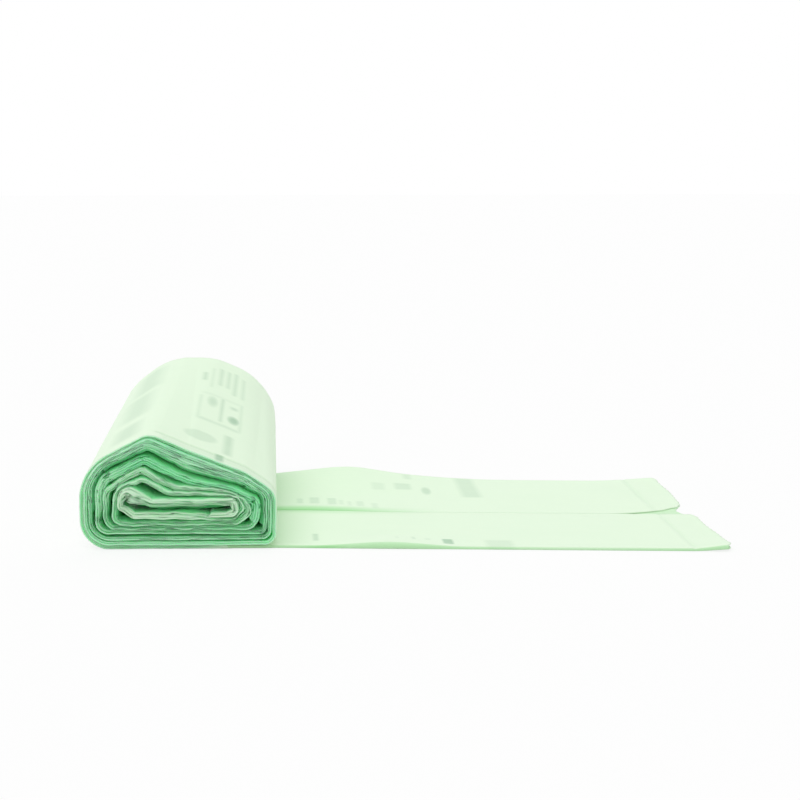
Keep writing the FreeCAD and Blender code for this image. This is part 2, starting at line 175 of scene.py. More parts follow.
# Steps round each bend, which usually turns by a little over a radian, and along the run before it. They are
# the same at both ends, so that the points lie opposite each other.
OUTLINE_STEP = 0.97
USUAL_BEND = 1.1
counts = []
for i, corner in enumerate(rear_corners):
    near = rear_corners[max(i - 1, 0)]
    run = math.hypot(corner[0] - near[0], corner[1] - near[1])
    bend_steps = max(6, round(USUAL_BEND * corner[2] / OUTLINE_STEP))
    run_steps = max(3, round(run / (2 * OUTLINE_STEP)))
    counts.append((bend_steps, run_steps))
front_line = run_outline(front_corners, counts)
rear_line = run_outline(rear_corners, counts)
POINTS = len(front_line)

# In which turn each point lies, and how thick the film is there
turns_at_corners = [0.0] + [i / CORNERS_IN_TURN for i in range(len(front_corners) - 1)]
thickness_at_corners = [corner[3] for corner in front_corners]
point_turns = []
point_thickness = []
for i in range(1, len(front_corners) - 1):
    steps = counts[i][1] - (1 if point_turns else 0)
    for values, at_corners in ((point_turns, turns_at_corners), (point_thickness, thickness_at_corners)):
        values += [at_corners[i - 1] + (at_corners[i] - at_corners[i - 1]) * k / steps for k in range(steps)]
        values += [at_corners[i]] * (counts[i][0] + 1)
point_turns += [turns_at_corners[-1]] * (POINTS - len(point_turns))
point_thickness += [thickness_at_corners[-1]] * (POINTS - len(point_thickness))


def lengths_along(outline):
    """Length of film from the start of the winding to each point."""
    lengths = [0.0]
    for before, after in zip(outline, outline[1:]):
        lengths.append(lengths[-1] + (after[0] - before[0]).length * MM)
    return lengths


along = lengths_along(front_line)
along_rear = lengths_along(rear_line)
# The film thins out over this length at its two ends, down to this share
END_TAPER = 0.0015
THINNEST = 0.02


def tapered(i, thickness):
    """Thickness of the film at a point of the winding."""
    to_end = min(along[i], along[-1] - along[i]) / END_TAPER
    return thickness * min(1.0, THINNEST + math.sqrt(max(to_end, 0.0)))


# The second turn stands out as a lip, which grows over a quarter of a turn, and the middle turns lie in a
# dish. The film wasn't wound quite square, so it slips towards the front on its way along X.
LIP = 0.9
LIP_TURN = 0.55
LIP_GROWTH = 4.0
END_DISH = 1.5
DISH_TURNS = 6.0
SLIP = 0.06


def stand_back(turn):
    """How far to the rear this part of the winding lies. It is below zero where it stands out."""
    lip = -LIP * min(max(turn - LIP_TURN, 0.0) * LIP_GROWTH, 1.0)
    dish = END_DISH * math.sin(math.pi * min(max(turn - 1.0, 0.0) / DISH_TURNS, 1.0))
    return (lip + dish) * MM


def value_at(places, where):
    """The value between those given for the places on either side."""
    if where <= places[0][0]:
        return places[0][1]
    for (before, low), (after, high) in zip(places, places[1:]):
        if where <= after:
            return low + (high - low) * (where - before) / (after - before)
    return places[-1][1]


line_mesh = bpy.data.meshes.new("winding_line")
line_mesh.from_pydata([(p.x * MM, 0, p.y * MM) for p, inward in front_line],
                      [(i, i + 1) for i in range(POINTS - 1)], [])
for name, kind, values in (
    ("rear", "FLOAT_VECTOR", [(p.x * MM, 0, p.y * MM) for p, inward in rear_line]),
    ("front_in", "FLOAT_VECTOR", [(inward.x, 0, inward.y) for p, inward in front_line]),
    ("rear_in", "FLOAT_VECTOR", [(inward.x, 0, inward.y) for p, inward in rear_line]),
    ("thick", "FLOAT", [tapered(i, point_thickness[i] * MM) for i in range(POINTS)]),
    ("thick_rear", "FLOAT", [tapered(i, REAR_THICKNESS * MM) for i in range(POINTS)]),
    ("shade", "FLOAT", [value_at(FOLD_PAINTED_SHADES, turn) for turn in point_turns]),
    ("swell", "FLOAT", [value_at(SWELLS, turn) * MM for turn in point_turns]),
    ("slant", "FLOAT", [value_at(FOLD_SLANTS, turn) * MM for turn in point_turns]),
    ("back", "FLOAT", [stand_back(turn) - SLIP * line_point[0].x * MM
                       for turn, line_point in zip(point_turns, front_line)]),
    ("along", "FLOAT", along),
    ("along_rear", "FLOAT", along_rear),
    ("turn", "FLOAT", point_turns),
):
    attribute = line_mesh.attributes.new(name, kind, "POINT")
    attribute.data.foreach_set("value" if kind == "FLOAT" else "vector",
                               values if kind == "FLOAT" else [c for v in values for c in v])

# Section of the folded film, from its front fold to its rear fold and back: share of the width, depth into
# the film, and bulge of the folds. Its points lie closest at the front fold and at the lip's line.
FRONT_FOLD_STEPS = 24
REAR_FOLD_STEPS = 10
ACROSS = [0.0, 0.004, 0.012, 0.022, 0.032, 0.036, 0.039, 0.042, 0.045, 0.048, 0.055, 0.08, 0.12, 0.2,
          0.33, 0.5, 0.67, 0.82, 0.92, 0.98, 1.0]
INNER_ACROSS = [1.0, 0.98, 0.9, 0.7, 0.45, 0.2, 0.08, 0.03, 0.01, 0.0]
section = [(share, 0.0, 0.0) for share in ACROSS]
for i in range(1, REAR_FOLD_STEPS):
    around = math.pi * i / REAR_FOLD_STEPS
    section.append((1.0, 0.5 - 0.5 * math.cos(around), math.sin(around)))
section += [(share, 1.0, 0.0) for share in INNER_ACROSS]
for i in range(1, FRONT_FOLD_STEPS):
    around = math.pi * i / FRONT_FOLD_STEPS
    section.append((0.0, 0.5 + 0.5 * math.cos(around), -math.sin(around)))
section.append(section[0])
section_mesh = bpy.data.meshes.new("folded_section")
section_mesh.from_pydata(section, [(i, i + 1) for i in range(len(section) - 1)], [])
section_line = bpy.data.objects.new("folded_section", section_mesh)
scene.collection.objects.link(section_line)


class Tree:
    """A Geometry Nodes tree that is put together one node at a time."""

    def __init__(self, name, inputs):
        self.tree = bpy.data.node_groups.new(name, "GeometryNodeTree")
        face = self.tree.interface
        face.new_socket("Geometry", in_out="INPUT", socket_type="NodeSocketGeometry")
        face.new_socket("Geometry", in_out="OUTPUT", socket_type="NodeSocketGeometry")
        self.sockets = {}
        for label, kind, value in inputs:
            socket = face.new_socket(label, in_out="INPUT", socket_type=kind)
            self.sockets[label] = (socket.identifier, value)
        self.given = self.tree.nodes.new("NodeGroupInput")
        self.out = self.tree.nodes.new("NodeGroupOutput")

    def node(self, kind, inputs=(), **settings):
        node = self.tree.nodes.new(kind)
        for name, value in settings.items():
            setattr(node, name, value)
        for key, value in dict(inputs).items():
            self.feed(node.inputs[key], value)
        return node

    def feed(self, socket, value):
        if isinstance(value, bpy.types.NodeSocket):
            self.tree.links.new(value, socket)
        elif isinstance(value, bpy.types.Node):
            self.tree.links.new(value.outputs[0], socket)
        else:
            socket.default_value = value

    def math(self, operation, *values):
        return self.node("ShaderNodeMath", enumerate(values), operation=operation).outputs[0]

    def vector(self, operation, *values):
        node = self.node("ShaderNodeVectorMath", operation=operation)
        if operation == "SCALE":
            self.feed(node.inputs[0], values[0])
            self.feed(node.inputs["Scale"], values[1])
        else:
            for i, value in enumerate(values):
                self.feed(node.inputs[i], value)
        return node.outputs[0]

    def ramp(self, value, low, high, first=0.0, last=1.0, kind="LINEAR"):
        """Runs from first to last while the value runs from low to high."""
        inputs = {0: value, 1: low, 2: high, 3: first, 4: last}
        return self.node("ShaderNodeMapRange", inputs, interpolation_type=kind).outputs[0]

    def soft_ramp(self, value, low, high, first=0.0, last=1.0):
        return self.ramp(value, low, high, first, last, "SMOOTHSTEP")

    def blend(self, share, first, second):
        return self.node("ShaderNodeMix", {0: share, 2: first, 3: second}, data_type="FLOAT").outputs[0]

    def build_on(self, obj):
        modifier = obj.modifiers.new(self.tree.name, "NODES")
        modifier.node_group = self.tree
        for identifier, value in self.sockets.values():
            modifier[identifier] = value


def plain_mesh(obj, name):
    """The evaluated object as a plain mesh object, in place of the one that had the modifier."""
    evaluated = obj.evaluated_get(bpy.context.evaluated_depsgraph_get())
    mesh = bpy.data.meshes.new_from_object(evaluated)
    piece = bpy.data.objects.new(name, mesh)
    scene.collection.objects.link(piece)
    bpy.data.objects.remove(obj)
    return piece


# Film material
# Slightly translucent film, pale mint outside and deeper green at the ends of the turns, where light has
# passed many plies; that deeper green and the shade at the ends are painted into the colour. It reads where
# each place lies on the laid-out film, how much painted green shade it gets in the winding, and how much
# painted glow and shade it gets on the lead bag.
film = bpy.data.materials.new("printed_film")
film.use_nodes = True
film_nodes = film.node_tree.nodes
film_links = film.node_tree.links


def film_node(kind, inputs=(), **settings):
    node = film_nodes.new(kind)
    for name, value in settings.items():
        setattr(node, name, value)
    for key, value in dict(inputs).items():
        if isinstance(value, bpy.types.NodeSocket):
            film_links.new(value, node.inputs[key])
        else:
            node.inputs[key].default_value = value
    return node


def film_math(operation, *values, clamp=False):
    return film_node("ShaderNodeMath", enumerate(values), operation=operation, use_clamp=clamp).outputs[0]


def film_mix(share, first, second):
    node = film_node("ShaderNodeMix", {0: share, 6: first, 7: second}, data_type="RGBA")
    return node.outputs[2]


film_surface = film_nodes["Principled BSDF"]
lay = film_node("ShaderNodeAttribute", attribute_name="lay").outputs["Vector"]
lay_parts = film_node("ShaderNodeSeparateXYZ", {0: lay})
along_film = film_math("MULTIPLY", lay_parts.outputs[0], 1000.0)
across_film = film_math("MULTIPLY", lay_parts.outputs[1], 1000.0)
# How green the winding is, mostly painted shade, and the painted glow and shade on the lead bag
inside = film_node("ShaderNodeAttribute", attribute_name="inside").outputs["Fac"]
painted_glow_shade = film_node("ShaderNodeAttribute", attribute_name="painted_glow_shade").outputs["Fac"]


def box_mark(u0, u1, v0, v1, soft):
    """1 inside a rectangle of the laid-out film, in millimetres, and 0 outside, with soft edges."""
    edges = []
    for value, low, high in ((along_film, u0, u1), (across_film, v0, v1)):
        away = film_math("ABSOLUTE", film_math("SUBTRACT", value, (low + high) / 2))
        inside_by = film_math("SUBTRACT", (high - low) / 2 + soft / 2, away)
        edges.append(film_math("MULTIPLY", inside_by, 1 / soft, clamp=True))
    return film_math("MULTIPLY", *edges)


def round_mark(u, v, half_u, half_v, soft):
    """The same for an ellipse."""
    parts = []
    for value, middle, half in ((along_film, u, half_u), (across_film, v, half_v)):
        parts.append(film_math("POWER", film_math("ABSOLUTE", film_math(
            "MULTIPLY", film_math("SUBTRACT", value, middle), 1 / half)), 2.0))
    return film_math("MULTIPLY", film_math("SUBTRACT", 1.0, film_math("ADD", *parts)), 1 / soft, clamp=True)


# Plain printed shapes, and painted shade along the lip, in millimetres of the laid-out film: from and to
# along it, from and to across it, how dark, how soft. Places on the lead bag are below zero along the film.
BOX_MARKS = [
    # Broad pale blocks on the rising side
    (77.7, 87.2, 16.0, 47.0, 0.34, 6.0), (76.2, 85.7, -20.0, 12.0, 0.34, 6.0),
    (76.2, 84.2, -46.0, -27.0, 0.38, 5.0),
    # Open frame on the falling side, with a bar and a block in it
    (102.4, 103.2, -20.0, 6.0, 0.31, 1.5), (116.7, 117.5, -19.0, 10.0, 0.31, 1.5),
    (102.7, 117.2, -20.3, -18.0, 0.31, 1.9), (102.7, 117.2, 8.0, 10.0, 0.16, 2.2),
    (109.9, 110.8, -16.0, 8.5, 0.54, 1.4), (113.3, 115.9, 1.0, 4.0, 0.45, 1.7),
    # Bars behind the frame and a block in front of it
    (102.3, 103.7, 24.0, 33.5, 0.54, 1.7), (105.3, 106.0, 17.0, 40.0, 0.27, 1.5),
    (108.0, 109.2, 22.0, 42.0, 0.45, 1.7), (110.9, 111.9, 22.0, 42.0, 0.45, 1.7),
    (113.4, 114.6, 17.0, 43.0, 0.45, 1.7), (116.6, 117.5, 16.0, 40.0, 0.36, 1.7),
    (112.6, 115.3, -45.0, -27.0, 0.47, 1.9),
    # Painted shade along the lip, a dark line and a faint strip, and a printed block that runs over it
    (90.7, 134.7, -48.9, -47.9, 0.60, 0.9), (92.7, 134.7, -52.4, -48.6, 0.18, 1.7),
    (110.3, 113.1, -52.4, -47.2, 0.95, 1.4),
    # Seal line across the lead bag
    (-145.3, -143.7, -52.0, 52.0, 0.12, 1.6),
    # Blocks on its rear flap
    (-89.4, -83.0, 21.0, 52.0, 0.34, 2.4), (-66.0, -60.3, 32.0, 40.0, 0.34, 1.6),
    (-56.6, -52.2, 31.0, 39.0, 0.22, 1.6), (-67.2, -64.4, 46.0, 52.0, 0.25, 1.6),
    (-52.4, -50.4, 1.0, 10.0, 0.22, 1.0), (-47.8, -45.4, 4.0, 13.0, 0.26, 1.0),
    (-43.6, -42.4, 4.0, 13.0, 0.22, 1.0), (-41.0, -39.5, 6.0, 15.0, 0.22, 1.0),
    (-38.6, -35.7, 6.0, 18.0, 0.34, 1.0), (-32.8, -29.6, 8.0, 19.0, 0.36, 1.0),
    (-27.2, -25.2, 8.0, 17.0, 0.30, 1.0),
    # Blocks on its front flap
    (-90.0, -82.0, -53.0, -44.0, 0.30, 2.0), (-72.0, -68.9, -50.0, -43.5, 0.95, 0.9),
    (-65.2, -63.4, -46.5, -43.5, 0.20, 0.8), (-60.6, -59.5, -47.0, -41.5, 0.32, 0.8),
    (-55.5, -54.5, -47.0, -41.5, 0.16, 0.8), (-30.8, -29.1, -46.5, -37.0, 0.50, 0.9),
]
# Ovals: middle along and across the film, half lengths, how dark, how soft
ROUND_MARKS = [
    (106.9, 1.5, 2.2, 6.6, 0.50, 1.0), (114.7, -10.0, 2.5, 4.8, 1.0, 0.9),
    (104.8, -36.0, 6.2, 5.0, 0.32, 0.5), (-71.0, 30.5, 2.0, 6.5, 0.50, 0.8),
]
print_and_lip_shade = None
for kind, marks in ((box_mark, BOX_MARKS), (round_mark, ROUND_MARKS)):
    for u0, u1, v0, v1, dark, soft in marks:
        mark = film_math("MULTIPLY", kind(u0, u1, v0, v1, soft), dark)
        print_and_lip_shade = mark if print_and_lip_shade is None else film_math("MAXIMUM", print_and_lip_shade, mark)

# Colours of the outer face, of the folds, of the film deep inside, which paints the shade between the turns,
# of the painted glow and shade on the lead bag, and of the print and the painted shade at the lip. How green
# the film is runs from 0 outside through a half at the folds to 1 deep inside, and most of that rise is
# painted shade.
OUTER_GREEN = (0.79, 0.965, 0.74, 1)
FOLD_GREEN = (0.58, 0.90, 0.61, 1)
DEEP_GREEN = (0.28, 0.84, 0.42, 1)
GLOW_SHADE_GREEN = (0.36, 0.78, 0.33, 1)
PRINT_AND_SHADE_GREEN = (0.38, 0.60, 0.40, 1)
UNEVEN_GREEN = 0.12
cloud = film_node("ShaderNodeTexNoise", {"Vector": lay, "Scale": 45.0, "Detail": 4.0}).outputs[0]
streaks = film_node("ShaderNodeMapping", {"Vector": lay, "Scale": (30.0, 900.0, 1.0)}).outputs[0]
streak = film_node("ShaderNodeTexNoise", {"Vector": streaks, "Scale": 1.0, "Detail": 2.0}).outputs[0]
shade = film_math("MULTIPLY", film_math("SUBTRACT", film_math("ADD", cloud, streak), 1.0), UNEVEN_GREEN)
# The painted shade of the winding, with the film's uneven tone added
green_with_painted_shade = film_math("ADD", inside, shade, clamp=True)
pale_part = film_math("MULTIPLY", green_with_painted_shade, 2.0, clamp=True)
deep_part = film_math("SUBTRACT", film_math("MULTIPLY", green_with_painted_shade, 2.0), 1.0, clamp=True)
on_skin = film_math("SUBTRACT", 1.0, pale_part)
print_wear_and_shade_patches = film_math("ADD", 0.55, film_math("MULTIPLY", cloud, 0.9), clamp=True)
# The print and the painted lip shade show only on the outer face, patchy by the same noise
print_and_lip_shade = film_math("MULTIPLY", film_math("MULTIPLY", print_and_lip_shade, on_skin), print_wear_and_shade_patches)
base = film_mix(deep_part, film_mix(pale_part, OUTER_GREEN, FOLD_GREEN), DEEP_GREEN)
base = film_mix(painted_glow_shade, film_mix(print_and_lip_shade, base, PRINT_AND_SHADE_GREEN), GLOW_SHADE_GREEN)
film_links.new(base, film_surface.inputs["Base Color"])
film_surface.inputs["Roughness"].default_value = 0.42

# The folds shine less than the outer face, and let more light through
specular = film_math("SUBTRACT", 0.35, film_math("MULTIPLY", green_with_painted_shade, 0.3))
film_links.new(specular, film_surface.inputs["Specular IOR Level"])
film_links.new(film_math("MULTIPLY", green_with_painted_shade, 0.6), film_surface.inputs["Subsurface Weight"])
film_surface.inputs["Subsurface Radius"].default_value = (0.35, 1.0, 0.45)
film_surface.inputs["Subsurface Scale"].default_value = 0.0030
crinkle = film_node("ShaderNodeTexNoise", {"Vector": lay, "Scale": 260.0, "Detail": 3.0}).outputs[0]
bump = film_node("ShaderNodeBump", {"Strength": 0.25, "Distance": 0.0003, "Height": crinkle})
film_links.new(bump.outputs[0], film_surface.inputs["Normal"])

# Geometry of the winding
# One sheet of points is laid along the winding line and across the folded section, and moved to where the
# film lies. Between the two ends every point goes straight from its place at one to its place at the other.
winding_tree = Tree("wind_up", [
    ("Section", "NodeSocketObject", section_line),
    ("Film width", "NodeSocketFloat", ROLL_LENGTH * MM),
    ("Ripple", "NodeSocketFloat", 0.0008),
    ("Ragged edge", "NodeSocketFloat", 0.0010),
    ("Kink", "NodeSocketFloat", 0.0006),
    ("Lip groove", "NodeSocketFloat", 0.0007),
    ("Ply thickness", "NodeSocketFloat", 0.00075),
    ("Ply groove", "NodeSocketFloat", 0.0011),
    ("Pocket", "NodeSocketFloat", 0.002),
    ("Seed", "NodeSocketFloat", 3.0),
    ("Film", "NodeSocketMaterial", film),
])
t = winding_tree
given = t.given.outputs
line = given["Geometry"]
section_of = t.node("GeometryNodeObjectInfo", {"Object": given["Section"]}).outputs["Geometry"]
line_size = t.node("GeometryNodeAttributeDomainSize", {"Geometry": line}).outputs["Point Count"]
section_size = t.node("GeometryNodeAttributeDomainSize", {"Geometry": section_of}).outputs["Point Count"]
grid = t.node("GeometryNodeMeshGrid", {"Vertices X": line_size, "Vertices Y": section_size}).outputs["Mesh"]
index = t.node("GeometryNodeInputIndex").outputs[0]
step = t.math("FLOOR", t.math("DIVIDE", t.math("ADD", index, 0.5), section_size))
place = t.math("SUBTRACT", index, t.math("MULTIPLY", step, section_size))


def sampled(geometry, at, name, kind):
    """An attribute of one point of a line, by its number."""
    if name == "position":
        value = t.node("GeometryNodeInputPosition").outputs[0]
    else:
        value = t.node("GeometryNodeInputNamedAttribute", {"Name": name}, data_type=kind).outputs[0]
    node = t.node("GeometryNodeSampleIndex", {"Geometry": geometry, "Index": at}, data_type=kind)
    t.feed(node.inputs["Value"], value)
    return node.outputs["Value"]


front = sampled(line, step, "position", "FLOAT_VECTOR")
rear = sampled(line, step, "rear", "FLOAT_VECTOR")
front_in = sampled(line, step, "front_in", "FLOAT_VECTOR")
rear_in = sampled(line, step, "rear_in", "FLOAT_VECTOR")
front_thick = sampled(line, step, "thick", "FLOAT")
rear_thick = sampled(line, step, "thick_rear", "FLOAT")
back = sampled(line, step, "back", "FLOAT")
front_wound = sampled(line, step, "along", "FLOAT")
rear_wound = sampled(line, step, "along_rear", "FLOAT")
turn_of = sampled(line, step, "turn", "FLOAT")
# Painted shade of the folds, by the turn
fold_painted_shade = sampled(line, step, "shade", "FLOAT")
slant = sampled(line, step, "slant", "FLOAT")
swell = sampled(line, step, "swell", "FLOAT")
spot = t.node("ShaderNodeSeparateXYZ", {0: sampled(section_of, place, "position", "FLOAT_VECTOR")}).outputs
share, depth, bulge = spot[0], spot[1], spot[2]
wound = t.blend(share, front_wound, rear_wound)


def mixed(first, second):
    node = t.node("ShaderNodeMix", {0: share, 4: first, 5: second}, data_type="VECTOR")
    return node.outputs[1]


def noise(scale_along, scale_across, shift, detail=2.0):
    """Noise between -1 and 1 over the laid-out film."""
    at = t.node("ShaderNodeCombineXYZ", {0: t.math("MULTIPLY", wound, scale_along),
                                         1: t.math("MULTIPLY", share, scale_across), 2: shift})
    texture = t.node("ShaderNodeTexNoise", {"Vector": at.outputs[0], "Scale": 1.0, "Detail": detail,
                                            "W": given["Seed"]}, noise_dimensions="4D")
    return t.math("MULTIPLY", t.math("SUBTRACT", texture.outputs[0], 0.5), 2.0)


# Thickness: uneven, and greater behind the front fold, where the film swells and then settles again
UNEVEN_THICKNESS = 0.16
thick = t.blend(share, front_thick, rear_thick)
uneven_by = t.math("MULTIPLY", noise(110.0, 3.0, 21.0), UNEVEN_THICKNESS)
thick = t.math("MULTIPLY", thick, t.math("ADD", 1.0, uneven_by))
swollen = t.soft_ramp(share, 0.002, 0.014)
settled = t.soft_ramp(share, 0.15, 0.4)
swollen = t.math("MULTIPLY", swollen, t.math("SUBTRACT", 1.0, settled))
thick = t.math("ADD", thick, t.math("MULTIPLY", swell, swollen))

# Ripples and kinks, which are stronger in the loose turns, and ragged ends
inward = t.vector("NORMALIZE", mixed(front_in, rear_in))
loose = t.ramp(turn_of, 2.6, 3.6, 0.35, 1.0)
ripple = t.math("MULTIPLY", t.math("MULTIPLY", noise(70.0, 2.0, 0.0), given["Ripple"]), loose)
kink = t.math("MULTIPLY", t.math("MULTIPLY", noise(230.0, 4.0, 33.0), given["Kink"]), loose)
ripple = t.math("ADD", ripple, kink)
edge = t.math("POWER", t.math("ABSOLUTE", t.math("MULTIPLY", t.math("SUBTRACT", share, 0.5), 2.0)), 6.0)
ragged = t.math("MULTIPLY", t.math("MULTIPLY", noise(60.0, 3.0, 7.0, 3.0), edge), given["Ragged edge"])
inward_by = t.math("ADD", t.math("MULTIPLY", depth, thick), ripple)
body = t.vector("ADD", mixed(front, rear), t.vector("SCALE", inward, inward_by))

# A groove in the outer face shows where the second turn's lip ends under it, on the falling side
LIP_LINE = 0.0415
LIP_LINE_WIDTH = 0.006
lip_near = t.math("ABSOLUTE", t.math("DIVIDE", t.math("SUBTRACT", share, LIP_LINE), LIP_LINE_WIDTH))
lip_line = t.soft_ramp(lip_near, 1.0, 0.0)
lip_start = t.ramp(wound, 0.088, 0.096)
lip_end = t.ramp(wound, 0.138, 0.132)
outer_face = t.math("LESS_THAN", depth, 0.001)
on_falling_side = t.math("MULTIPLY", lip_start, lip_end)
lip_line = t.math("MULTIPLY", t.math("MULTIPLY", lip_line, outer_face), on_falling_side)
body = t.vector("ADD", body, t.vector("SCALE", inward, t.math("MULTIPLY", lip_line, given["Lip groove"])))

# The folds show their plies as grooves, shallower in the tight outer turns
width_place = t.math("MULTIPLY", t.math("SUBTRACT", share, 0.5), given["Film width"])
plies = t.math("DIVIDE", thick, given["Ply thickness"])
ply_place = t.math("MULTIPLY", depth, plies)
ply_face = t.math("ABSOLUTE", t.math("SINE", t.math("MULTIPLY", ply_place, math.pi)))
ply_noise = noise(120.0, 0.0, t.math("MULTIPLY", t.math("FLOOR", ply_place), 5.3), 2.0)
ply_out = t.math("ADD", t.math("POWER", ply_face, 0.5), t.math("MULTIPLY", ply_noise, 1.2))
bundled = t.ramp(turn_of, 1.8, 2.3, 0.55, 1.0)
groove = t.math("MULTIPLY", given["Ply groove"], bundled)
fold_out = t.math("MULTIPLY", t.math("MULTIPLY", ply_out, bulge), groove)

# At the front end the inner plies stand back, with pockets between them here and there
FRONT_SHARE = 0.2
near_front = t.math("MAXIMUM", t.math("SUBTRACT", 1.0, t.math("MULTIPLY", share, 1 / FRONT_SHARE)), 0.0)
inner_plies = t.soft_ramp(depth, 0.32, 0.56)
pocket_noise = noise(260.0, 0.0, t.math("MULTIPLY", depth, 5.0), 1.0)
pocket = t.math("MULTIPLY", t.ramp(pocket_noise, 0.2, 0.34), t.ramp(turn_of, 0.9, 1.6))
set_back = t.math("ADD", t.math("MULTIPLY", slant, inner_plies), t.math("MULTIPLY", pocket, given["Pocket"]))
fold_out = t.math("ADD", fold_out, t.math("MULTIPLY", set_back, near_front))

# Across the roll: place on the film, the round of the folds, the lip and the dish, and the unevenness. This
# starts at nothing under the roll, where the lead bag joins.
FOLD_ROUND = 0.22
START_LENGTH = 0.012
sideways = t.math("ADD", width_place, t.math("MULTIPLY", t.math("MULTIPLY", bulge, thick), FOLD_ROUND))
starting = t.soft_ramp(wound, 0.0, START_LENGTH)
uneven = t.math("MULTIPLY", t.math("ADD", ragged, fold_out), starting)
sideways = t.math("ADD", t.math("ADD", sideways, back), uneven)
moved = t.vector("ADD", body, t.node("ShaderNodeCombineXYZ", {1: sideways}).outputs[0])
TABLE_CLEARANCE = 0.00002
on_table = t.vector("MAXIMUM", moved, (-1.0, -1.0, TABLE_CLEARANCE))
placed = t.node("GeometryNodeSetPosition", {"Geometry": grid, "Position": on_table}).outputs[0]
lay_out = t.node("ShaderNodeCombineXYZ", {0: wound, 1: width_place}).outputs[0]


def stored(geometry, name, kind, value):
    """The geometry with the value kept as an attribute of its points."""
    node = t.node("GeometryNodeStoreNamedAttribute", {"Geometry": geometry, "Name": name}, data_type=kind,
                  domain="POINT")
    t.feed(node.inputs["Value"], value)
    return node.outputs[0]


# How green, which is mostly painted shade: nothing on the outer face of the outermost turn; at the folds the
# turn's own painted shade, with more painted shade in the grooves, in the pockets, where the plies stand back
# and on the rims of the outer turns, and more or less green in random blotches; and full deep green between
# the turns, which paints the shade there
outermost = t.math("SUBTRACT", 1.0, t.ramp(turn_of, 0.8, 1.3))
skin = t.math("MULTIPLY", outermost, t.math("SUBTRACT", 1.0, t.ramp(depth, 0.02, 0.2)))
fold_part = t.ramp(t.math("ABSOLUTE", bulge), 0.05, 0.45)
# Painted shade in the grooves between the plies, less in the outermost turn
nearest_ply = t.math("FLOOR", t.math("ADD", ply_place, 0.5))
groove_reach = t.math("ADD", 0.55, noise(45.0, 0.0, t.math("MULTIPLY", nearest_ply, 3.1), 1.0))
groove_shade = t.math("MULTIPLY", t.math("SUBTRACT", 1.0, t.math("POWER", ply_face, 0.45)), 1.1)
groove_shade = t.math("MULTIPLY", groove_shade, t.math("MAXIMUM", groove_reach, 0.0))
groove_shade = t.math("MULTIPLY", groove_shade, t.ramp(turn_of, 0.5, 1.2, 0.4))
blotches = t.math("MULTIPLY", noise(160.0, 0.0, t.math("MULTIPLY", depth, 1.7), 3.0), 0.35)
# Painted shade where the inner plies stand back and in the pockets, in the loose turns
stand_back_shade = t.math("MULTIPLY", inner_plies, t.math("MULTIPLY", slant, 110.0))
recess_shade = t.math("ADD", stand_back_shade, t.math("MULTIPLY", pocket, 0.8))
recess_shade = t.math("MULTIPLY", recess_shade, loose)
# Painted shade on the lit outer ply of each turn, most in the outer turns
rim_shade = t.math("MULTIPLY", t.ramp(turn_of, 2.9, 3.3, 0.35, 0.12), t.ramp(depth, 0.2, 0.0))
groove_shade = t.math("ADD", groove_shade, rim_shade)
fold_green_and_shade = t.math("ADD", t.math("ADD", t.math("ADD", fold_painted_shade, groove_shade), blotches), recess_shade)
fold_green_and_shade = t.math("MAXIMUM", t.math("MINIMUM", fold_green_and_shade, 1.0), -0.5)
fold_green_and_shade = t.math("ADD", 0.5, t.math("MULTIPLY", fold_green_and_shade, 0.5))
START_GREEN = 0.25
# The faces between the turns get full deep green, which paints the shade in the slots
green_and_painted_shade = t.math("MULTIPLY", t.blend(fold_part, 1.0, fold_green_and_shade), t.math("SUBTRACT", 1.0, skin))
start_share = t.math("ADD", START_GREEN, t.math("MULTIPLY", starting, 1.0 - START_GREEN))
green_and_painted_shade = t.math("MULTIPLY", green_and_painted_shade, start_share)

# The sheet's seams are closed, and it becomes the piece
SEAM = 0.00002
marked = stored(stored(placed, "lay", "FLOAT_VECTOR", lay_out), "inside", "FLOAT", green_and_painted_shade)
merged = t.node("GeometryNodeMergeByDistance", {"Geometry": marked, "Distance": SEAM}).outputs[0]
smooth = t.node("GeometryNodeSetShadeSmooth", {"Geometry": merged}).outputs[0]
real = t.node("GeometryNodeRealizeInstances", {"Geometry": smooth}).outputs[0]
finished = t.node("GeometryNodeSetMaterial", {"Geometry": real, "Material": given["Film"]}).outputs[0]
t.feed(t.out.inputs[0], finished)

winding_line = bpy.data.objects.new("winding_line", line_mesh)
scene.collection.objects.link(winding_line)
winding_tree.build_on(winding_line)
winding = plain_mesh(winding_line, "wound_film")
bpy.data.objects.remove(section_line)
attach(winding, "root")
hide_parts("bag_roll")

# Lead bag
# The first bag, folded in four, lies along the table with its two flaps meeting at a slit on top. Its rear
# edge humps up beside the roll, its front fold is puffed up, and its torn end curls where the flaps part.
LEAD_START = 12.0
LEAD_END = 168.3
HALF = ROLL_LENGTH / 2
PLY = 0.3
# The gap between the plies at the folds, and the slit between the flaps, which gapes beside the roll
FOLD_GAP = 0.62
SLIT_Y = -4.0
SLIT_RISE = 0.75
SLIT_X = 40.0
# The bag slips towards the front with the winding as far as it lies under the roll, and from the roll's side
# on it drifts that way by this much of its length
SLIP_END = 26.0
DRIFT_START = 30.0
DRIFT = 0.114
# The lower ply rises to the rear edge, and to the front corner of the torn end
REAR_RAMP_START = 22.0
FRONT_RAMP_START = 36.0
CORNER_LIFT = 0.7
# The puff in the front fold, and how far the fold opens at the torn end
PUFF_X = 64.0
PUFF_RISE = 1.35
END_OPENING = 0.6
# The rear flap's free edge springs back from the slit near the torn end, and rests on the lower ply there
SPRING_START = 136.0
SPRING_BACK = 13.0
RESTING = 0.29
